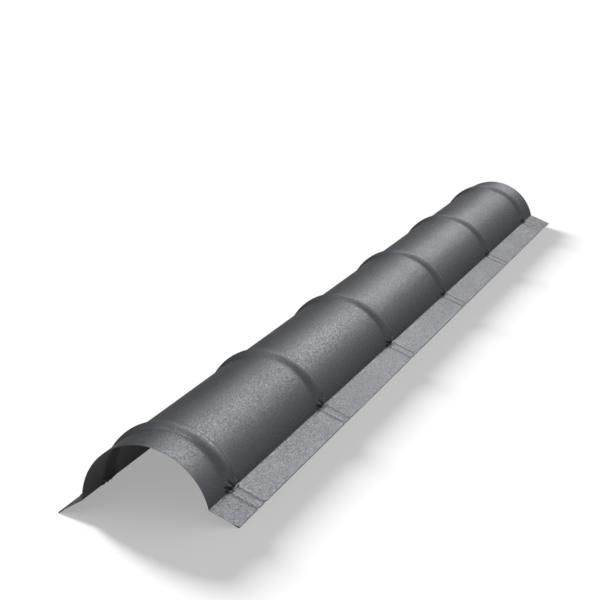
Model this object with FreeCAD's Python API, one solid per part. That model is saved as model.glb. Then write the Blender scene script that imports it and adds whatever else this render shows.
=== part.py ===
import FreeCAD
import Part
import math
import os

# Ridge cap: one folded sheet of coated steel, half-round over the ridge, with a sloping flange on each side
# Millimetres. X runs along the ridge, Y across it, Z up. The hems stand on the floor at Z = 0.

# Sheet
SHEET = 0.5
LENGTH = 2000.0

# Arch, sizes on its outer face; the half angle runs from the crown to the fold line
ARCH_RADIUS = 110.0
ARCH_HALF_ANGLE = 82.9

# Flanges, width on the upper face from the fold line to the outer edge
FLANGE_WIDTH = 52.7
FLANGE_SLOPE = 26.5

# Hem turned under each flange's outer edge, with its leg coming back to the underside
HEM_WIDTH = 10.0
HEM_RADIUS = 1.0
HEM_MOUTH = 0.3

# Ring beads pressed outwards across the arch, spaced evenly between the two end margins
BEAD_COUNT = 6
BEAD_NEAR_MARGIN = 81.0
BEAD_FAR_MARGIN = 86.5
BEAD_HEIGHT = 7.2
BEAD_WIDTH = 44.0
BEAD_CREST_RADIUS = 26.0

# Foot of each ring bead, pressed flat where it comes down on the flange
FOOT_REACH = 5.0
FOOT_ANGLE = 14.0

# Creases pressed into each foot: one up its middle and one leaning out on each side
CREASE_RADIUS = 3.0
CREASE_DEPTH = 1.2
CREASE_LENGTH = 10.0
CREASE_SPREAD = 6.0
CREASE_LEAN = 35.0

# Pair of low ridges that carry each bead's two feet over the flange as far as the hem
RIDGE_SPACING = 25.5
RIDGE_WIDTH = 11.0
RIDGE_HEIGHT = 1.6
RIDGE_END_SLOPE = 35.0

# Derived places
X_START = -LENGTH / 2
X_END = LENGTH / 2
SLOPE = math.radians(FLANGE_SLOPE)
HALF_ANGLE = math.radians(ARCH_HALF_ANGLE)
FOLD_Y = ARCH_RADIUS * math.sin(HALF_ANGLE)
HEM_RUN = FLANGE_WIDTH - HEM_RADIUS
FOLD_Z = HEM_RUN * math.sin(SLOPE) + HEM_RADIUS * math.cos(SLOPE) + HEM_RADIUS
AXIS_Z = FOLD_Z - ARCH_RADIUS * math.cos(HALF_ANGLE)
BEAD_PITCH = (LENGTH - BEAD_NEAR_MARGIN - BEAD_FAR_MARGIN) / (BEAD_COUNT - 1)
BEAD_CENTRES = [X_START + BEAD_NEAR_MARGIN + i * BEAD_PITCH for i in range(BEAD_COUNT)]
RIDGE_CENTRES = [c + s * RIDGE_SPACING / 2 for c in BEAD_CENTRES for s in (-1, 1)]

# How far working shapes run on past the surface that trims them, and the turn that the arch runs on
SPARE = 20.0
SPARE_TURN = 5.0

# How far the low ridges run on under the arch's foot and past their ramps
SPARE_RIDGE = 5.0


def flange_point(x, along, above):
    # A point given by its run down the slope from the fold line and its height off the upper face
    y = FOLD_Y + along * math.cos(SLOPE) + above * math.sin(SLOPE)
    z = FOLD_Z - along * math.sin(SLOPE) + above * math.cos(SLOPE)
    return FreeCAD.Vector(x, y, z)


def arch_point(x, turn, radius):
    # A point on a circle about the arch's axis, turned from the crown towards the +Y flange
    return FreeCAD.Vector(x, radius * math.sin(turn), AXIS_Z + radius * math.cos(turn))


def prism(points):
    # A closed outline drawn at the near end and carried along the whole length
    face = Part.Face(Part.makePolygon(points + [points[0]]))
    return face.extrude(FreeCAD.Vector(LENGTH, 0, 0))


def both_sides(shape):
    return [shape, shape.mirror(FreeCAD.Vector(0, 0, 0), FreeCAD.Vector(0, 1, 0))]


def hump(centre, width, height, crest_radius, place):
    # Two foot arcs and a crest arc, all tangent; place turns a run and a rise into a point
    reach = (width * width / 4 + height * height) / (2 * height)
    foot_radius = reach - crest_radius
    turn = math.asin(width / 2 / reach)
    step = foot_radius * math.sin(turn)
    lift = foot_radius * (1 - math.cos(turn))
    near_step = foot_radius * math.sin(turn / 2)
    near_lift = foot_radius * (1 - math.cos(turn / 2))
    start = centre - width / 2
    stop = centre + width / 2
    rising = Part.Arc(place(start, 0), place(start + near_step, near_lift), place(start + step, lift))
    crest = Part.Arc(place(start + step, lift), place(centre, height), place(stop - step, lift))
    falling = Part.Arc(place(stop - step, lift), place(stop - near_step, near_lift), place(stop, 0))
    return [rising.toShape(), crest.toShape(), falling.toShape()]


def arch_body(radius, crest_radius, spare_turn):
    # Everything inside one face of the arch: its long section, turned about the arch's axis
    def place(x, rise):
        return FreeCAD.Vector(x, 0, AXIS_Z + radius + rise)
    edges = []
    at = X_START
    for centre in BEAD_CENTRES:
        edges.append(Part.makeLine(place(at, 0), place(centre - BEAD_WIDTH / 2, 0)))
        edges += hump(centre, BEAD_WIDTH, BEAD_HEIGHT, crest_radius, place)
        at = centre + BEAD_WIDTH / 2
    edges.append(Part.makeLine(place(at, 0), place(X_END, 0)))
    edges.append(Part.makeLine(place(X_END, 0), place(X_END, -radius)))
    edges.append(Part.makeLine(place(X_END, -radius), place(X_START, -radius)))
    edges.append(Part.makeLine(place(X_START, -radius), place(X_START, 0)))
    face = Part.Face(Part.Wire(edges))
    axis = FreeCAD.Vector(1, 0, 0)
    centre = FreeCAD.Vector(0, 0, AXIS_Z)
    turn = ARCH_HALF_ANGLE + spare_turn
    face.rotate(centre, axis, -turn)
    return face.revolve(centre, axis, 2 * turn)


def pressed_foot(inset):
    # What is pressed off the foot of every bead; inset moves the pressed face inwards
    low = flange_point(X_START, FOOT_REACH, 0)
    high = arch_point(X_START, HALF_ANGLE - math.radians(FOOT_ANGLE), ARCH_RADIUS + BEAD_HEIGHT)
    along = (high - low).normalize()
    out = FreeCAD.Vector(0, along.z, -along.y)
    low = low - out * inset - along * SPARE
    high = high - out * inset + along * SPARE
    return prism([low, high, high + out * SPARE, low + out * SPARE])


def capsule(start, way, length, radius, out):
    # A round-ended rod, turned from a half outline that starts on its outward side
    stop = start + way * length
    corner = (out - way) * (radius / math.sqrt(2))
    far_corner = (out + way) * (radius / math.sqrt(2))
    edges = [Part.Arc(start - way * radius, start + corner, start + out * radius).toShape()]
    edges.append(Part.makeLine(start + out * radius, stop + out * radius))
    edges.append(Part.Arc(stop + out * radius, stop + far_corner, stop + way * radius).toShape())
    edges.append(Part.makeLine(stop + way * radius, start - way * radius))
    return Part.Face(Part.Wire(edges)).revolve(start, way, 360)


def creases(inset):
    # Creases pressed into the feet; inset makes them fatter by the sheet for the inner face
    low = flange_point(0, FOOT_REACH, 0)
    high = arch_point(0, HALF_ANGLE - math.radians(FOOT_ANGLE), ARCH_RADIUS + BEAD_HEIGHT)
    up = (high - low).normalize()
    out = FreeCAD.Vector(0, up.z, -up.y)
    lean = math.radians(CREASE_LEAN)
    made = []
    for centre in BEAD_CENTRES:
        for side in (-1, 0, 1):
            sideways = FreeCAD.Vector(side, 0, 0)
            way = sideways * math.sin(lean * abs(side)) + up * math.cos(lean * abs(side))
            start = low + up * CREASE_RADIUS + out * (CREASE_RADIUS - CREASE_DEPTH)
            start = start + FreeCAD.Vector(centre, 0, 0) + sideways * (CREASE_SPREAD / 2)
            made.append(capsule(start, way, CREASE_LENGTH, CREASE_RADIUS + inset, out))
    return made[0].multiFuse(made[1:])


def flange_body(top, reach, depth):
    # Everything under a plane parallel to the flange's upper face
    corners = [(-SPARE, top), (reach, top), (reach, -depth), (-SPARE, -depth)]
    return prism([flange_point(X_START, along, above) for along, above in corners])


def ridges(inset):
    # Low ridges down the slope, each ramped down where the hem starts; inset is the drop to the inner face
    ramp = math.radians(RIDGE_END_SLOPE)
    reach = FLANGE_WIDTH - HEM_WIDTH
    foot = reach - inset / math.sin(ramp) + inset / math.tan(ramp)
    run = SPARE / math.tan(ramp)
    outline = [(foot + run, -inset - SPARE), (foot - run, -inset + SPARE), (foot + run, -inset + SPARE)]
    beyond_ramp = prism([flange_point(X_START, along, above) for along, above in outline])

    def place(x, rise):
        return flange_point(x, -SPARE_RIDGE, rise - inset)
    arcs = (RIDGE_WIDTH * RIDGE_WIDTH / 4 + RIDGE_HEIGHT * RIDGE_HEIGHT) / (2 * RIDGE_HEIGHT)
    down = flange_point(0, reach + SPARE_RIDGE, 0) - flange_point(0, -SPARE_RIDGE, 0)
    made = []
    for centre in RIDGE_CENTRES:
        start = centre - RIDGE_WIDTH / 2
        stop = centre + RIDGE_WIDTH / 2
        edges = hump(centre, RIDGE_WIDTH, RIDGE_HEIGHT, arcs / 2 - inset, place)
        edges.append(Part.makeLine(place(stop, 0), place(stop, -SPARE_RIDGE)))
        edges.append(Part.makeLine(place(stop, -SPARE_RIDGE), place(start, -SPARE_RIDGE)))
        edges.append(Part.makeLine(place(start, -SPARE_RIDGE), place(start, 0)))
        made.append(Part.Face(Part.Wire(edges)).extrude(down))
    return [ridge.cut(beyond_ramp) for ridge in made]


def hem():
    # The sheet turns under at the outer edge and its leg comes back, closing on the underside
    inner_radius = HEM_RADIUS - SHEET
    mouth_along = FLANGE_WIDTH - HEM_WIDTH
    mouth_above = -SHEET - HEM_MOUTH
    run = mouth_along - HEM_RUN
    rise = mouth_above + HEM_RADIUS
    first = math.pi / 2
    last = math.atan2(rise, run) + math.acos(inner_radius / math.hypot(run, rise)) - 2 * math.pi

    def at(radius, angle):
        along = HEM_RUN + radius * math.cos(angle)
        return flange_point(X_START, along, radius * math.sin(angle) - HEM_RADIUS)
    mouth = flange_point(X_START, mouth_along, mouth_above)
    lip_along = mouth_along + SHEET * math.cos(last)
    lip = flange_point(X_START, lip_along, mouth_above + SHEET * math.sin(last))
    middle = (first + last) / 2
    edges = [Part.Arc(at(HEM_RADIUS, first), at(HEM_RADIUS, middle), at(HEM_RADIUS, last)).toShape()]
    edges.append(Part.makeLine(at(HEM_RADIUS, last), lip))
    edges.append(Part.makeLine(lip, mouth))
    edges.append(Part.makeLine(mouth, at(inner_radius, last)))
    edges.append(Part.Arc(at(inner_radius, last), at(inner_radius, middle), at(inner_radius, first)).toShape())
    edges.append(Part.makeLine(at(inner_radius, first), at(HEM_RADIUS, first)))
    return Part.Face(Part.Wire(edges)).extrude(FreeCAD.Vector(LENGTH, 0, 0))


# Everything under the sheet's upper face
outer = arch_body(ARCH_RADIUS, BEAD_CREST_RADIUS, SPARE_TURN)
outer = outer.cut(both_sides(pressed_foot(0)) + both_sides(creases(0)))
upper = both_sides(flange_body(0, HEM_RUN, SPARE))
for ridge in ridges(0):
    upper += both_sides(ridge)
outer = outer.fuse(upper)

# Everything under its lower face, carried on past the ends of the first
inner = arch_body(ARCH_RADIUS - SHEET, BEAD_CREST_RADIUS - SHEET, 2 * SPARE_TURN)
inner = inner.cut(both_sides(pressed_foot(SHEET)) + both_sides(creases(SHEET)))
lower = both_sides(flange_body(-SHEET, HEM_RUN + SPARE, 2 * SPARE))
for ridge in ridges(SHEET):
    lower += both_sides(ridge)
inner = inner.fuse(lower)

# The sheet lies between the two, and the hems finish its edges
cap = outer.cut(inner).fuse(both_sides(hem()))
ridge_cap = cap.Solids[0]

os.makedirs("parts", exist_ok=True)
ridge_cap.exportStep("parts/ridge_cap.step")
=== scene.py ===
import math

import bpy
import numpy as np
from mathutils import Matrix, Vector


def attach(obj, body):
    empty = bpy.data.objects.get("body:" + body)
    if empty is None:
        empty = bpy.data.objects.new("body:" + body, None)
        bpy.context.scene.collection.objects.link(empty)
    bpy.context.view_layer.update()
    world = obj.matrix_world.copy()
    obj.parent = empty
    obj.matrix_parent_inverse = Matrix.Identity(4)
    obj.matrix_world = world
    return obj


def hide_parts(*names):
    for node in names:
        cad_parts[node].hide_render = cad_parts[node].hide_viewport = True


# The sheet is worked out in millimetres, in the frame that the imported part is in, and made in metres
MM = 0.001

# Sheet and section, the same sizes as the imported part; the fold between arch and flange is rounded here
SHEET = 0.5
LENGTH = 2000.0
ARCH_RADIUS = 110.0
HALF_ANGLE = math.radians(82.9)
SLOPE = math.radians(26.5)
FLANGE_WIDTH = 52.7
FOLD_RADIUS = 2.2
HEM_WIDTH = 10.0
HEM_RADIUS = 1.0
HEM_MOUTH = 0.3
HEM_RUN = FLANGE_WIDTH - HEM_RADIUS
FOLD_Y = ARCH_RADIUS * math.sin(HALF_ANGLE)
FOLD_Z = HEM_RUN * math.sin(SLOPE) + HEM_RADIUS * math.cos(SLOPE) + HEM_RADIUS
AXIS_Z = FOLD_Z - ARCH_RADIUS * math.cos(HALF_ANGLE)

# Ring beads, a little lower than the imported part's, which leaves room for the sheet's waves
BEAD_COUNT = 6
NEAR_MARGIN = 81.0
FAR_MARGIN = 86.5
BEAD_HEIGHT = 6.95
BEAD_WIDTH = 44.0
CREST_RADIUS = 26.0
PITCH = (LENGTH - NEAR_MARGIN - FAR_MARGIN) / (BEAD_COUNT - 1)
BEADS = [-LENGTH / 2 + NEAR_MARGIN + i * PITCH for i in range(BEAD_COUNT)]

# Pressed foot of each bead: how far down the flange its crest line lands, how far up the arch it starts,
# and how far past the fold its rows are in step with the plain ones again
FOOT_REACH = 5.0
FOOT_TURN = math.radians(14.0)
FOOT_FADE = 11.0

# Rounding of a bead's crest line, wide over the arch and narrow at its foot. It changes between two heights
# above the fold and dies out between two runs past the foot.
WIDE_BLUR = 4.0
NARROW_BLUR = 0.9
CHANGE_HEIGHTS = (12.0, 6.0)
DYING_RUNS = (2.0, 5.0)

# Pair of low ridges over the flange at each bead, each with a fine valley along its far side
RIDGE_OFFSET = 12.75
RIDGE_WIDTH = 15.0
RIDGE_HEIGHT = 1.25
VALLEY_DEPTH = 0.22
VALLEY_INSET = 2.2
VALLEY_WIDTH = 1.3

# The ridges rise between these runs past the fold, and their valleys stop this far before the hem
RIDGE_START = (-1.0, 3.0)
VALLEY_STOP = 1.0

# How far a ridge draws the flange's edge in, and how far up the flange that begins
RIDGE_DRAW = 0.8
DRAW_LENGTH = 12.0

# Pleats crimped into each foot: start and end as (along the ridge, up the foot), depth and width.
# A depth below zero is a lip that stands out between two pleats.
PLEATS = [
    (-3.0, 1.0, -19.0, 8.5, 3.4, 1.9),
    (-2.0, 3.0, -11.0, 17.0, 3.1, 1.8),
    (1.0, 3.5, 0.5, 18.5, 2.8, 1.6),
    (2.5, 3.0, 10.5, 16.5, 3.3, 1.8),
    (3.5, 1.0, 18.5, 9.0, 3.4, 1.9),
    (-22.0, 2.0, -7.0, 1.2, 2.7, 1.5),
    (7.0, 1.2, 22.0, 2.2, 2.7, 1.5),
    (-8.0, 6.0, -15.5, 12.5, -1.9, 2.0),
    (-1.5, 7.0, -4.5, 15.5, -1.7, 1.6),
    (4.0, 8.0, 5.5, 15.0, -1.7, 1.6),
    (9.0, 6.0, 15.0, 12.0, -1.9, 2.0),
]

# How much a pleat may differ from foot to foot: its end along the ridge and up the foot, and its depth
# as a share. Its start moves along by a share of what its end does.
PLEAT_SHIFTS = (1.6, 1.2, 0.2)
PLEAT_START_SHARE = 0.5
PLEAT_SEED = 7

# A pleat keeps its full depth up to one share of its length, and has one share of that depth at its far end
PLEAT_FULL = 0.35
PLEAT_TIP = 0.45

# The crimping fades out between these heights on the foot, below and above
CRIMP_LOW = (-2.5, 1.5)
CRIMP_HIGH = (21.0, 15.0)

# Unevenness of the rolled sheet: two ripples, each with its run along the ridge and down the section for one
# radian and its shift between the halves. It dies out between two distances from the flange's edge.
WAVE_HEIGHT = 0.07
LONG_RIPPLE = (71.0, 37.0, 1.3)
SHORT_RIPPLE = (29.0, 23.0, 2.1)
SHORT_SHARE = 0.6
CALM_FROM = 14.0
CALM_TO = 2.0

# Share of the hem's bend that still faces up; beyond it the hem's bend and leg take the near-black edge
# material, a painted shade line along the flange's edge
HEM_SHADE_FROM = 0.12

# Mesh spacing down the section; the foot's rows lie between the two places about the fold
PATH_STEP = 0.05
ARCH_STEP = 5.2
FOOT_STEP = 0.85
FLANGE_STEP = 4.2
FOOT_ROWS_ABOVE = 22.0
FOOT_ROWS_BELOW = 2.5
FADE_ROWS = 4
BEND_ROWS = 8
LEG_ROWS = 3

# Mesh spacing along the ridge: close columns over each bead, then two wider ones and even steps between
CLOSE_REACH = 22.0
CLOSE_COLUMNS = 27
WIDER_REACHES = (24.2, 27.0)
STEPS_AT_END = 3
STEPS_BETWEEN = 5

# Edges that turn by more than this are sharp
SHARP_ANGLE = math.radians(58)

# The hem's bend starts square to the flange and ends where its straight leg leaves for the mouth
LEG_RUN = (FLANGE_WIDTH - HEM_WIDTH) - HEM_RUN
LEG_RISE = -SHEET - HEM_MOUTH + HEM_RADIUS
LEG_WAY = math.atan2(LEG_RISE, LEG_RUN)
BEND_INNER = HEM_RADIUS - SHEET
BEND_START = math.pi / 2
BEND_STOP = LEG_WAY + math.acos(BEND_INNER / math.hypot(LEG_RUN, LEG_RISE)) - 2 * math.pi

# Where the arch, the fold, the flange, the bend and the leg end, as lengths from the crown on the outer face
FOLD_CUT = FOLD_RADIUS * math.tan((HALF_ANGLE - SLOPE) / 2)
ARCH_END, FOLD_END, FLANGE_END, BEND_END, LEG_END = np.cumsum(
    [
        ARCH_RADIUS * HALF_ANGLE - FOLD_CUT,
        FOLD_RADIUS * (HALF_ANGLE - SLOPE),
        HEM_RUN - FOLD_CUT,
        HEM_RADIUS * (BEND_START - BEND_STOP),
        math.sqrt(LEG_RUN * LEG_RUN + LEG_RISE * LEG_RISE - BEND_INNER * BEND_INNER),
    ]
)
FOLD_MIDDLE = (ARCH_END + FOLD_END) / 2

# Noises of the coat, each as scale, detail and roughness, and the part of a noise's values that is used
GRAIN_NOISE = (620.0, 3.0, 0.6)
MOTTLE_NOISE = (400.0, 1.5, 0.6)
CLOUD_NOISE = (9.0, 3.0, 0.5)
MOTTLE_PART = (0.36, 0.64)
CLOUD_PART = (0.3, 0.7)

# Finish of the coat: the two shades of its mottle, the roughness of each, and how far clouds change that
COAT_SHADES = ((0.0905, 0.0933, 0.1000), (0.0985, 0.1017, 0.1090))
COAT_ROUGHNESS = (0.68, 0.385)
COAT_CLOUD = (-0.02, 0.02)
COAT_EDGE_TINT = (0.36, 0.352, 0.337, 1.0)
COAT_SPECULAR = 0.1
GRAIN_STRENGTH = 0.35
GRAIN_DEPTH = 0.0004
MOTTLE_IN_GRAIN = 0.6

# Dull finishes, each as its noise, two shades, roughness and specular level, and the part of the noise used
BACKING_COAT = ((240.0, 3.0, 0.6), ((0.058, 0.059, 0.060), (0.078, 0.079, 0.080)), 0.6, 0.3)
# The cut edges and the hem's turned-under edge get this near-black finish: painted shade, drawn as dark
# lines along the sheet's edges
EDGE_SHADE = ((900.0, 2.0, 0.6), ((0.030, 0.031, 0.032), (0.050, 0.051, 0.053)), 0.5, 0.5)
DULL_PART = (0.3, 0.7)

# Slots of the sheet's materials; the last one is the near-black painted shade of the edges
COAT_SLOT, BACKING_SLOT, PAINTED_SHADE_SLOT = 0, 1, 2

# The camera's place in metres, and its turn as a rotation vector, from the part's frame to one whose axes
# point right, down and ahead
CAMERA_PLACE = (-2.6325, -1.0273, 0.8159)
CAMERA_TURN = (1.5326, -1.1054, 0.7272)
CAMERA_LENS = 81.95
SENSOR_WIDTH = 36.0
CLIP_RANGE = (0.01, 200.0)

# Softboxes that face the part's origin: name, place, size, height and radiance
SOFTBOXES = (
    ("far_softbox", (18.4, 0.0, 7.8), 4.5, 4.0, 33.5),
    ("far_side_softbox", (18.1, -3.9, 7.5), 4.5, 4.0, 18.0),
    ("side_low_softbox", (17.8, -7.9, 4.2), 4.5, 4.0, 3.0),
    ("high_softbox", (5.0, 0.4, 6.2), 3.0, 3.0, 7.1),
    ("high_side_softbox", (4.4, -2.8, 6.1), 3.0, 3.0, 4.3),
    ("near_softbox", (-1.8, 0.0, 5.7), 3.0, 3.0, 4.7),
)

# The sun that makes the floor's shadow: the way it shines, its height, its spread and the light on the floor
SUN_WAY = (-0.60, -0.70, -0.375)
SUN_HEIGHT = math.radians(22.0)
SUN_SPREAD = math.radians(10.0)
SUN_LEVEL = 1.6

# Floor and world
FLOOR_REACH = 60.0
FLOOR_SHADE = 0.3
FLOOR_LIFT = 0.36
WORLD_LEVEL = 0.62


def arch_point(turn, radius):
    """A point of the section on a circle about the arch's axis, turned from the crown."""
    return np.stack([radius * np.sin(turn), AXIS_Z + radius * np.cos(turn)], -1)


def flange_point(along, above):
    """A point of the section given by its run down the slope and its height off the flange's upper face."""
    across = FOLD_Y + along * math.cos(SLOPE) + above * math.sin(SLOPE)
    height = FOLD_Z - along * math.sin(SLOPE) + above * math.cos(SLOPE)
    return np.stack([across, height], -1)


def smooth_step(x, low, high):
    """From 0 at low to 1 at high, level at both."""
    t = np.clip((x - low) / (high - low), 0.0, 1.0)
    return t * t * (3.0 - 2.0 * t)


def blur(curve, width):
    """The curve rounded by a bell of that width along its path."""
    reach = int(3 * width / PATH_STEP)
    bell = np.exp(-0.5 * (np.arange(-reach, reach + 1) * PATH_STEP / width) ** 2)
    bell /= bell.sum()
    rounded = np.empty_like(curve)
    for axis in range(2):
        padded = np.pad(curve[:, axis], reach, mode="reflect", reflect_type="odd")
        rounded[:, axis] = np.convolve(padded, bell, mode="valid")
    return rounded


def plain_section(path):
    """The outer face between the beads, from the crown to the hem's lip."""
    points = np.zeros((len(path), 2))

    arch = path <= ARCH_END
    points[arch] = arch_point(path[arch] / ARCH_RADIUS, ARCH_RADIUS)

    fold = (path > ARCH_END) & (path <= FOLD_END)
    heading = (path[fold] - ARCH_END) / FOLD_RADIUS - HALF_ANGLE
    corner = arch_point(ARCH_END / ARCH_RADIUS, ARCH_RADIUS)
    centre = corner + FOLD_RADIUS * np.array([math.sin(HALF_ANGLE), math.cos(HALF_ANGLE)])
    points[fold] = centre + FOLD_RADIUS * np.stack([np.sin(heading), -np.cos(heading)], -1)

    flange = (path > FOLD_END) & (path <= FLANGE_END)
    points[flange] = flange_point(FOLD_CUT + path[flange] - FOLD_END, 0.0)

    bend = (path > FLANGE_END) & (path <= BEND_END)
    around = BEND_START - (path[bend] - FLANGE_END) / HEM_RADIUS
    along = HEM_RUN + HEM_RADIUS * np.cos(around)
    points[bend] = flange_point(along, HEM_RADIUS * np.sin(around) - HEM_RADIUS)

    leg = path > BEND_END
    back = path[leg] - BEND_END
    along = HEM_RUN + HEM_RADIUS * math.cos(BEND_STOP) + back * math.sin(BEND_STOP)
    above = HEM_RADIUS * math.sin(BEND_STOP) - HEM_RADIUS - back * math.cos(BEND_STOP)
    points[leg] = flange_point(along, above)
    return points


def crest_section(path, plain):
    """The outer face along a bead's crest, whose foot is pressed flat and rounded into the flange."""
    crest = plain.copy()
    turn = HALF_ANGLE - FOOT_TURN
    raised = ARCH_RADIUS + BEAD_HEIGHT
    foot_start = ARCH_RADIUS * turn
    over = path <= foot_start
    crest[over] = arch_point(path[over] / ARCH_RADIUS, raised)

    upper = arch_point(turn, raised)
    lower = flange_point(FOOT_REACH, 0.0)
    face = (path > foot_start) & (path <= FOLD_MIDDLE)
    share = (path[face] - foot_start) / (FOLD_MIDDLE - foot_start)
    crest[face] = upper + share[:, None] * (lower - upper)

    foot_end = FOLD_END + FOOT_FADE
    below = (path > FOLD_MIDDLE) & (path <= foot_end)
    share = (path[below] - FOLD_MIDDLE) / (foot_end - FOLD_MIDDLE)
    crest[below] = flange_point(FOOT_REACH + share * (FOLD_CUT + FOOT_FADE - FOOT_REACH), 0.0)

    wide = blur(crest, WIDE_BLUR)
    narrow = blur(crest, NARROW_BLUR)
    near_foot = smooth_step(path, FOLD_MIDDLE - CHANGE_HEIGHTS[0], FOLD_MIDDLE - CHANGE_HEIGHTS[1])
    rounded = wide + near_foot[:, None] * (narrow - wide)
    past_foot = smooth_step(path, foot_end + DYING_RUNS[0], foot_end + DYING_RUNS[1])
    return rounded + past_foot[:, None] * (crest - rounded)


def normals_of(curve):
    """The outward directions along a section."""
    step = np.gradient(curve, axis=0)
    normal = np.stack([-step[:, 1], step[:, 0]], -1)
    return normal / np.linalg.norm(normal, axis=1)[:, None]


def bead_rise(dx):
    """Height of a ring bead over the plain arch, from 0 to 1: a crest arc between two tangent foot arcs."""
    reach = (BEAD_WIDTH**2 / 4 + BEAD_HEIGHT**2) / (2 * BEAD_HEIGHT)
    foot_radius = reach - CREST_RADIUS
    foot_run = foot_radius * math.sin(math.asin(BEAD_WIDTH / 2 / reach))
    edge = BEAD_WIDTH / 2 - np.abs(dx)
    side = foot_radius - np.sqrt(foot_radius**2 - np.clip(edge, 0, foot_run) ** 2)
    inside = np.clip(np.abs(dx), 0, CREST_RADIUS)
    top = BEAD_HEIGHT - (CREST_RADIUS - np.sqrt(CREST_RADIUS**2 - inside**2))
    rise = np.where(edge > foot_run, top, side)
    return np.where(edge > 0, rise, 0.0) / BEAD_HEIGHT


def ridge_rise(dx):
    """Height of the pair of low ridges, with a fine valley on the far side of each."""
    total = np.zeros_like(dx)
    half = RIDGE_WIDTH / 2
    for side in (-1, 1):
        run = dx - side * RIDGE_OFFSET
        total += RIDGE_HEIGHT * np.where(np.abs(run) < half, 0.5 + 0.5 * np.cos(math.pi * run / half), 0.0)
        total -= VALLEY_DEPTH * np.exp(-(((run - half + VALLEY_INSET) / VALLEY_WIDTH) ** 2))
    return total


def pleat_depth(dx, up, shifts):
    """How far the crimped pleats press the foot in; shifts vary them a little from foot to foot."""
    total = np.zeros(np.broadcast(dx, up).shape)
    for (x0, u0, x1, u1, depth, width), (shift_x, shift_u, deeper) in zip(PLEATS, shifts):
        start = np.array([x0 + PLEAT_START_SHARE * shift_x, u0])
        span = np.array([x1 + shift_x, u1 + shift_u]) - start
        length = np.linalg.norm(span)
        way = span / length
        run = (dx - start[0]) * way[0] + (up - start[1]) * way[1]
        off = (up - start[1]) * way[0] - (dx - start[0]) * way[1]
        past_ends = np.maximum(0, np.maximum(-run, run - length))
        distance = np.sqrt(off**2 + past_ends**2)
        taper = PLEAT_TIP + (1 - PLEAT_TIP) * smooth_step(run, length, PLEAT_FULL * length)
        total += depth * (1 + deeper) * taper * np.exp(-((distance / width) ** 2))
    return total


def wave(x, path, side):
    """The slight unevenness of a rolled sheet: two crossing ripples, out of step on the two halves."""
    along, down, shift = LONG_RIPPLE
    long_ripple = np.sin(x / along + side * shift + path / down)
    along, down, shift = SHORT_RIPPLE
    short_ripple = np.sin(x / along - path / down + side * shift)
    return WAVE_HEIGHT * (long_ripple + SHORT_SHARE * short_ripple)


def even_steps(start, stop, count):
    """Evenly spaced places after start, up to and with stop."""
    return list(np.linspace(start, stop, count + 1)[1:])


def columns():
    """Places along the ridge: coarse ones, with a finer one half-way between each two."""
    close = np.linspace(-CLOSE_REACH, CLOSE_REACH, CLOSE_COLUMNS)
    wider = np.array(WIDER_REACHES)
    over_bead = np.concatenate([-wider[::-1], close, wider])
    places = [-LENGTH / 2]
    for i, centre in enumerate(BEADS):
        steps = STEPS_AT_END if i == 0 else STEPS_BETWEEN
        places += even_steps(places[-1], centre + over_bead[0], steps)[:-1]
        places += list(centre + over_bead)
    places += even_steps(places[-1], LENGTH / 2, STEPS_AT_END)
    coarse = np.array(places)
    both = np.empty(2 * len(coarse) - 1)
    both[0::2] = coarse
    both[1::2] = (coarse[1:] + coarse[:-1]) / 2
    return both


def rows():
    """Places on the path from the crown to the hem's lip, and which of them have the finer columns."""
    foot_start = FOLD_MIDDLE - FOOT_ROWS_ABOVE
    foot_end = FOLD_END + FOOT_ROWS_BELOW
    fade_end = FOLD_END + FOOT_FADE
    arch = [0.0] + even_steps(0.0, foot_start, int(round(foot_start / ARCH_STEP)))
    foot = even_steps(foot_start, foot_end, int(round((foot_end - foot_start) / FOOT_STEP)))
    rest = even_steps(foot_end, fade_end, FADE_ROWS)
    rest += even_steps(fade_end, FLANGE_END, int(round((FLANGE_END - fade_end) / FLANGE_STEP)))
    rest += even_steps(FLANGE_END, BEND_END, BEND_ROWS)
    rest += even_steps(BEND_END, LEG_END - PATH_STEP, LEG_ROWS)
    fine = [False] * len(arch) + [True] * len(foot) + [False] * len(rest)
    return np.array(arch + foot + rest), np.array(fine)


def nearest_bead(xs):
    """For each place along the ridge, the number of the nearest bead and the distance past its middle."""
    nearest = np.array([min(range(BEAD_COUNT), key=lambda b: abs(x - BEADS[b])) for x in xs])
    return nearest, xs - np.array(BEADS)[nearest]


def ridge_shift(dx, spots, normal):
    """How the low ridges lift the flange and the hem, and draw the flange's edge in."""
    ridge = ridge_rise(dx)
    raised = np.maximum(ridge, 0.0)
    on_flange = smooth_step(spots, FOLD_END + RIDGE_START[0], FOLD_END + RIDGE_START[1])
    near_hem = spots > FLANGE_END - VALLEY_STOP
    on_hem = spots > FLANGE_END
    lift = on_flange[:, None] * np.where(near_hem[:, None], raised, ridge)
    flange_normal = np.array([math.sin(SLOPE), math.cos(SLOPE)])
    outward = np.where(on_hem[:, None, None], flange_normal, normal)
    draw = smooth_step(spots, FLANGE_END - DRAW_LENGTH, FLANGE_END)
    pull = draw[:, None] * raised / RIDGE_HEIGHT * RIDGE_DRAW
    up_the_slope = np.array([-math.cos(SLOPE), math.sin(SLOPE)])
    return outward * lift[:, :, None] + pull[:, :, None] * up_the_slope


def crimp(dx, spots, rng):
    """How far one foot is pressed in, with its own draw of how its pleats differ."""
    up = FOLD_MIDDLE - spots
    shifts = rng.uniform(-1, 1, (len(PLEATS), 3)) * np.array(PLEAT_SHIFTS)
    press = pleat_depth(dx[None, :], up[:, None], shifts)
    return press * (smooth_step(up, *CRIMP_LOW) * smooth_step(up, *CRIMP_HIGH))[:, None]


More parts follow.
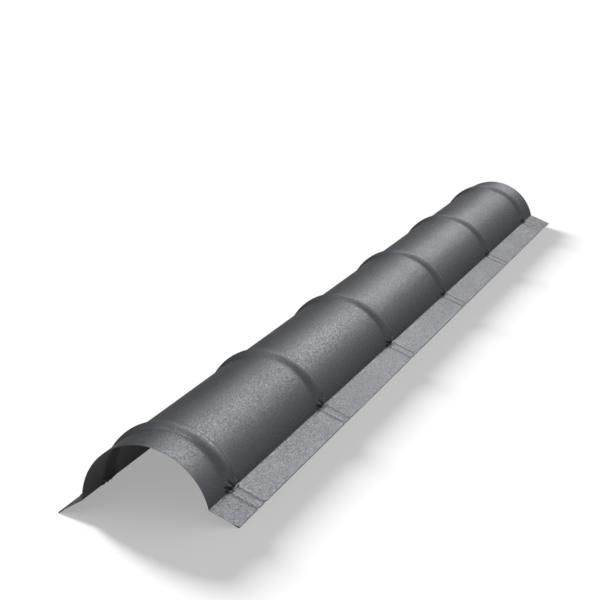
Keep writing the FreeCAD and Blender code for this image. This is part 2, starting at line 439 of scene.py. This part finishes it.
def half_face(side, xs, spots, sections, rng):
    """The outer face of one half as a grid, with its rows from the crown to the lip."""
    plain, plain_normal, crest, crest_normal = sections
    nearest, dx = nearest_bead(xs)
    rise = bead_rise(dx)[None, :, None]
    section = plain[:, None] + rise * (crest - plain)[:, None]
    normal = plain_normal[:, None] + rise * (crest_normal - plain_normal)[:, None]
    normal /= np.linalg.norm(normal, axis=2)[:, :, None]
    section += ridge_shift(dx, spots, normal)
    for bead in range(BEAD_COUNT):
        mine = nearest == bead
        section[:, mine] -= normal[:, mine] * crimp(dx[mine], spots, rng)[:, :, None]
    calm = smooth_step(spots, FLANGE_END - CALM_TO, FLANGE_END - CALM_FROM)
    section += normal * (wave(xs[None, :], spots[:, None], side) * calm[:, None])[:, :, None]
    points = np.empty(section.shape[:2] + (3,))
    points[..., 0] = xs[None, :]
    points[..., 1] = side * section[..., 0]
    points[..., 2] = section[..., 1]
    return points


def both_halves(row_values):
    """Values for the rows of one half, from the crown down, as values for the rows from lip to lip."""
    return np.concatenate([row_values[:0:-1], row_values])


def build_sheet():
    """The outer and inner faces as grids from lip to lip, and which rows are fine or on the hem's painted
    shade line.
    """
    path = np.arange(0.0, LEG_END, PATH_STEP)
    plain = plain_section(path)
    crest = crest_section(path, plain)
    xs = columns()
    spots, fine = rows()
    pick = np.clip(np.round(spots / PATH_STEP).astype(int), 0, len(path) - 1)
    sections = [curve[pick] for curve in (plain, normals_of(plain), crest, normals_of(crest))]
    rng = np.random.RandomState(PLEAT_SEED)
    left, right = [half_face(side, xs, spots, sections, rng) for side in (-1, 1)]
    crown = (left[0] + right[0]) / 2
    outer = np.concatenate([left[:0:-1], crown[None], right[1:]])
    across = np.cross(np.gradient(outer, axis=0), np.gradient(outer, axis=1))
    across /= np.linalg.norm(across, axis=2)[:, :, None]
    if across[len(spots) - 1, 0, 2] < 0:
        across = -across
    inner = outer - SHEET * across
    # Rows past this share of the hem's bend get the near-black painted shade
    painted_shade_rows = spots > FLANGE_END + HEM_SHADE_FROM * (BEND_END - FLANGE_END)
    return outer, inner, both_halves(fine), both_halves(painted_shade_rows)


def strip_faces(a, b, count, fine_a, fine_b):
    """Faces between the rows that start at points a and b; one that isn't fine has every second column."""
    if fine_a and fine_b:
        return [(a + c, a + c + 1, b + c + 1, b + c) for c in range(count - 1)]
    faces = []
    for c in range(0, count - 1, 2):
        if fine_a:
            faces.append((a + c, a + c + 1, b + c))
            faces.append((a + c + 1, b + c + 2, b + c))
            faces.append((a + c + 1, a + c + 2, b + c + 2))
        elif fine_b:
            faces.append((a + c, b + c + 1, b + c))
            faces.append((a + c, a + c + 2, b + c + 1))
            faces.append((a + c + 2, b + c + 2, b + c + 1))
        else:
            faces.append((a + c, a + c + 2, b + c + 2, b + c))
    return faces


def top_faces(fine, painted_shade_rows, count):
    """Faces of the outer grid, and the material slot of each."""
    faces = []
    slots = []
    for r in range(len(fine) - 1):
        strip = strip_faces(r * count, (r + 1) * count, count, fine[r], fine[r + 1])
        faces += strip
        # Faces between two rows of the hem's shade line take the painted shade slot
        slots += [PAINTED_SHADE_SLOT if painted_shade_rows[r] and painted_shade_rows[r + 1] else COAT_SLOT] * len(strip)
    return faces, slots


def rim_faces(row_count, count):
    """Faces that join the outer grid to the inner one, round the sheet's ends and its two lips."""
    total = row_count * count
    faces = []
    for r in range(row_count - 1):
        a, b = r * count, (r + 1) * count
        faces.append((a, b, total + b, total + a))
        end_a, end_b = a + count - 1, b + count - 1
        faces.append((end_b, end_a, total + end_a, total + end_b))
    last = (row_count - 1) * count
    for c in range(0, count - 1, 2):
        faces.append((c + 2, c, total + c, total + c + 2))
        faces.append((last + c, last + c + 2, total + last + c + 2, total + last + c))
    return faces


def make_cap():
    """The whole sheet as one closed mesh."""
    outer, inner, fine, painted_shade_rows = build_sheet()
    row_count, count = outer.shape[:2]
    total = row_count * count
    top, slots = top_faces(fine, painted_shade_rows, count)
    under = [tuple(total + i for i in reversed(face)) for face in top]
    rim = rim_faces(row_count, count)
    faces = top + under + rim
    # The rim faces, the sheet's cut edges, are painted near black as shade lines
    slots += [BACKING_SLOT] * len(under) + [PAINTED_SHADE_SLOT] * len(rim)

    # Points that no face uses are left out
    points = np.concatenate([outer.reshape(-1, 3), inner.reshape(-1, 3)]) * MM
    used = np.zeros(len(points), bool)
    for face in faces:
        used[list(face)] = True
    number = np.cumsum(used) - 1
    faces = [tuple(int(number[i]) for i in face) for face in faces]

    mesh = bpy.data.meshes.new("ridge_cap_sheet")
    mesh.from_pydata(points[used].tolist(), [], faces)
    mesh.polygons.foreach_set("material_index", slots)
    mesh.polygons.foreach_set("use_smooth", [True] * len(faces))
    mesh.update()
    mesh.validate()
    mesh.set_sharp_from_angle(angle=SHARP_ANGLE)
    cap = bpy.data.objects.new("ridge_cap_sheet", mesh)
    bpy.context.scene.collection.objects.link(cap)
    return cap


class Finish:
    """A material with one Principled shader, and short ways to add nodes to it."""

    def __init__(self, name):
        self.material = bpy.data.materials.new(name)
        self.material.use_nodes = True
        self.nodes = self.material.node_tree.nodes
        self.links = self.material.node_tree.links
        self.nodes.clear()
        out = self.nodes.new("ShaderNodeOutputMaterial")
        self.shader = self.nodes.new("ShaderNodeBsdfPrincipled")
        self.links.new(self.shader.outputs[0], out.inputs[0])
        self.where = self.nodes.new("ShaderNodeTexCoord").outputs["Object"]

    def fix(self, socket, value):
        self.shader.inputs[socket].default_value = value

    def drive(self, socket, value):
        self.links.new(value, self.shader.inputs[socket])

    def noise(self, scale, detail, roughness):
        node = self.nodes.new("ShaderNodeTexNoise")
        node.inputs["Scale"].default_value = scale
        node.inputs["Detail"].default_value = detail
        node.inputs["Roughness"].default_value = roughness
        self.links.new(self.where, node.inputs["Vector"])
        return node.outputs["Fac"]

    def span(self, value, low, high, to_low, to_high):
        node = self.nodes.new("ShaderNodeMapRange")
        node.inputs["From Min"].default_value = low
        node.inputs["From Max"].default_value = high
        node.inputs["To Min"].default_value = to_low
        node.inputs["To Max"].default_value = to_high
        self.links.new(value, node.inputs["Value"])
        return node.outputs["Result"]

    def blend(self, factor, shades):
        # A mix node has sockets for each type of value: 6 and 7 take its colours, and 2 gives the mixed one
        node = self.nodes.new("ShaderNodeMix")
        node.data_type = "RGBA"
        node.inputs[6].default_value = (*shades[0], 1.0)
        node.inputs[7].default_value = (*shades[1], 1.0)
        self.links.new(factor, node.inputs[0])
        return node.outputs[2]

    def combine(self, operation, *inputs):
        node = self.nodes.new("ShaderNodeMath")
        node.operation = operation
        for socket, value in zip(node.inputs, inputs):
            if isinstance(value, float):
                socket.default_value = value
            else:
                self.links.new(value, socket)
        return node.outputs[0]


def coated_steel():
    """The upper face's satin coat, whose fine grain shows where light glances off it."""
    finish = Finish("coated_steel_face")
    grain = finish.noise(*GRAIN_NOISE)
    mottle = finish.noise(*MOTTLE_NOISE)
    cloud = finish.noise(*CLOUD_NOISE)
    finish.drive("Base Color", finish.blend(finish.span(mottle, *MOTTLE_PART, 0.0, 1.0), COAT_SHADES))
    fine = finish.span(mottle, *MOTTLE_PART, *COAT_ROUGHNESS)
    broad = finish.span(cloud, *CLOUD_PART, *COAT_CLOUD)
    finish.drive("Roughness", finish.combine("ADD", fine, broad))
    relief = finish.combine("MULTIPLY_ADD", mottle, MOTTLE_IN_GRAIN, grain)
    bump = finish.nodes.new("ShaderNodeBump")
    bump.inputs["Strength"].default_value = GRAIN_STRENGTH
    bump.inputs["Distance"].default_value = GRAIN_DEPTH
    finish.links.new(relief, bump.inputs["Height"])
    finish.drive("Normal", bump.outputs[0])
    finish.fix("Metallic", 1.0)
    finish.fix("Specular IOR Level", COAT_SPECULAR)
    finish.fix("Specular Tint", COAT_EDGE_TINT)
    return finish.material


def dull_finish(name, noise, shades, roughness, specular):
    """A dull material whose shade varies with one noise, given by its scale, detail and roughness."""
    finish = Finish(name)
    mottle = finish.noise(*noise)
    finish.drive("Base Color", finish.blend(finish.span(mottle, *DULL_PART, 0.0, 1.0), shades))
    finish.fix("Roughness", roughness)
    finish.fix("Specular IOR Level", specular)
    return finish.material


def make_camera():
    """The camera at the photograph's viewing angle."""
    data = bpy.data.cameras.new("camera")
    data.lens = CAMERA_LENS
    data.sensor_width = SENSOR_WIDTH
    data.clip_start, data.clip_end = CLIP_RANGE
    camera = bpy.data.objects.new("camera", data)
    bpy.context.scene.collection.objects.link(camera)
    turn = Vector(CAMERA_TURN)
    right, down, ahead = Matrix.Rotation(turn.length, 3, turn.normalized())
    axes = Matrix((right, -down, -ahead)).transposed()
    camera.matrix_world = Matrix.Translation(CAMERA_PLACE) @ axes.to_4x4()
    bpy.context.scene.camera = camera


def make_lamp(data, way, lit):
    """A lamp that shines that way, on the objects of one collection only."""
    lamp = bpy.data.objects.new(data.name, data)
    lamp.rotation_mode = "QUATERNION"
    lamp.rotation_quaternion = Vector(way).to_track_quat("-Z", "Y")
    bpy.context.scene.collection.objects.link(lamp)
    lamp.light_linking.receiver_collection = lit
    return lamp


def lit_group(name, member):
    """A collection that says which object some lamps light."""
    group = bpy.data.collections.new(name)
    group.objects.link(member)
    return group


def light_cap(cap):
    """Softboxes that light the cap only, so that they leave no shadows of their own on the floor."""
    lit = lit_group("lit_by_softboxes", cap)
    for name, place, size, height, radiance in SOFTBOXES:
        data = bpy.data.lights.new(name, "AREA")
        data.shape = "RECTANGLE"
        data.size = size
        data.size_y = height
        data.energy = radiance * math.pi * size * height
        lamp = make_lamp(data, -Vector(place), lit)
        lamp.location = place


def light_floor(floor):
    """A broad sun that lights the floor only and throws the cap's one soft shadow on it."""
    sun = bpy.data.lights.new("floor_sun", "SUN")
    sun.energy = SUN_LEVEL * math.pi / math.sin(SUN_HEIGHT)
    sun.angle = SUN_SPREAD
    make_lamp(sun, SUN_WAY, lit_group("lit_by_floor_sun", floor))


def floor_white():
    """A plain pale floor, lifted to white for camera, glossy and transmission rays."""
    made = bpy.data.materials.new("floor_white")
    made.use_nodes = True
    nodes, links = made.node_tree.nodes, made.node_tree.links
    nodes.clear()
    out = nodes.new("ShaderNodeOutputMaterial")
    diffuse = nodes.new("ShaderNodeBsdfDiffuse")
    diffuse.inputs["Color"].default_value = (FLOOR_SHADE, FLOOR_SHADE, FLOOR_SHADE, 1.0)
    ray = nodes.new("ShaderNodeLightPath")
    seen = ray.outputs["Is Camera Ray"]
    for kind in ("Is Glossy Ray", "Is Transmission Ray"):
        either = nodes.new("ShaderNodeMath")
        either.operation = "MAXIMUM"
        links.new(seen, either.inputs[0])
        links.new(ray.outputs[kind], either.inputs[1])
        seen = either.outputs[0]
    level = nodes.new("ShaderNodeMath")
    level.operation = "MULTIPLY"
    level.inputs[1].default_value = FLOOR_LIFT
    links.new(seen, level.inputs[0])
    lift = nodes.new("ShaderNodeEmission")
    links.new(level.outputs[0], lift.inputs["Strength"])
    add = nodes.new("ShaderNodeAddShader")
    links.new(diffuse.outputs[0], add.inputs[0])
    links.new(lift.outputs[0], add.inputs[1])
    links.new(add.outputs[0], out.inputs[0])
    return made


def make_floor():
    corners = [(x * FLOOR_REACH, y * FLOOR_REACH, 0) for x, y in ((-1, -1), (1, -1), (1, 1), (-1, 1))]
    mesh = bpy.data.meshes.new("floor")
    mesh.from_pydata(corners, [], [(0, 1, 2, 3)])
    floor = bpy.data.objects.new("floor", mesh)
    bpy.context.scene.collection.objects.link(floor)
    mesh.materials.append(floor_white())
    return floor


def make_world():
    world = bpy.data.worlds.new("world")
    bpy.context.scene.world = world
    world.use_nodes = True
    background = world.node_tree.nodes["Background"]
    background.inputs["Color"].default_value = (1.0, 1.0, 1.0, 1.0)
    background.inputs["Strength"].default_value = WORLD_LEVEL


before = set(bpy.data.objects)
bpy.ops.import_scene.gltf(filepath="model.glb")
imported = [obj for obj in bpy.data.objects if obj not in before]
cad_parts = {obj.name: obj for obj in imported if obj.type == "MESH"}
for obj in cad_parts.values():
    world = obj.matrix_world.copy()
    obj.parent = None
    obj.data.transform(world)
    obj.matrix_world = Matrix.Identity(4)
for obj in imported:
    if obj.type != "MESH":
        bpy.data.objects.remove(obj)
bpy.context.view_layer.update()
bpy.context.scene.view_settings.view_transform = "Standard"

cap = make_cap()
cap.data.materials.append(coated_steel())
cap.data.materials.append(dull_finish("backing_coat", *BACKING_COAT))
# Near-black painted shade for the cut edges and the hem's edge
cap.data.materials.append(dull_finish("edge_painted_shade", *EDGE_SHADE))
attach(cap, "root")
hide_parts("ridge_cap")

floor = make_floor()
make_world()
make_camera()
light_cap(cap)
light_floor(floor)
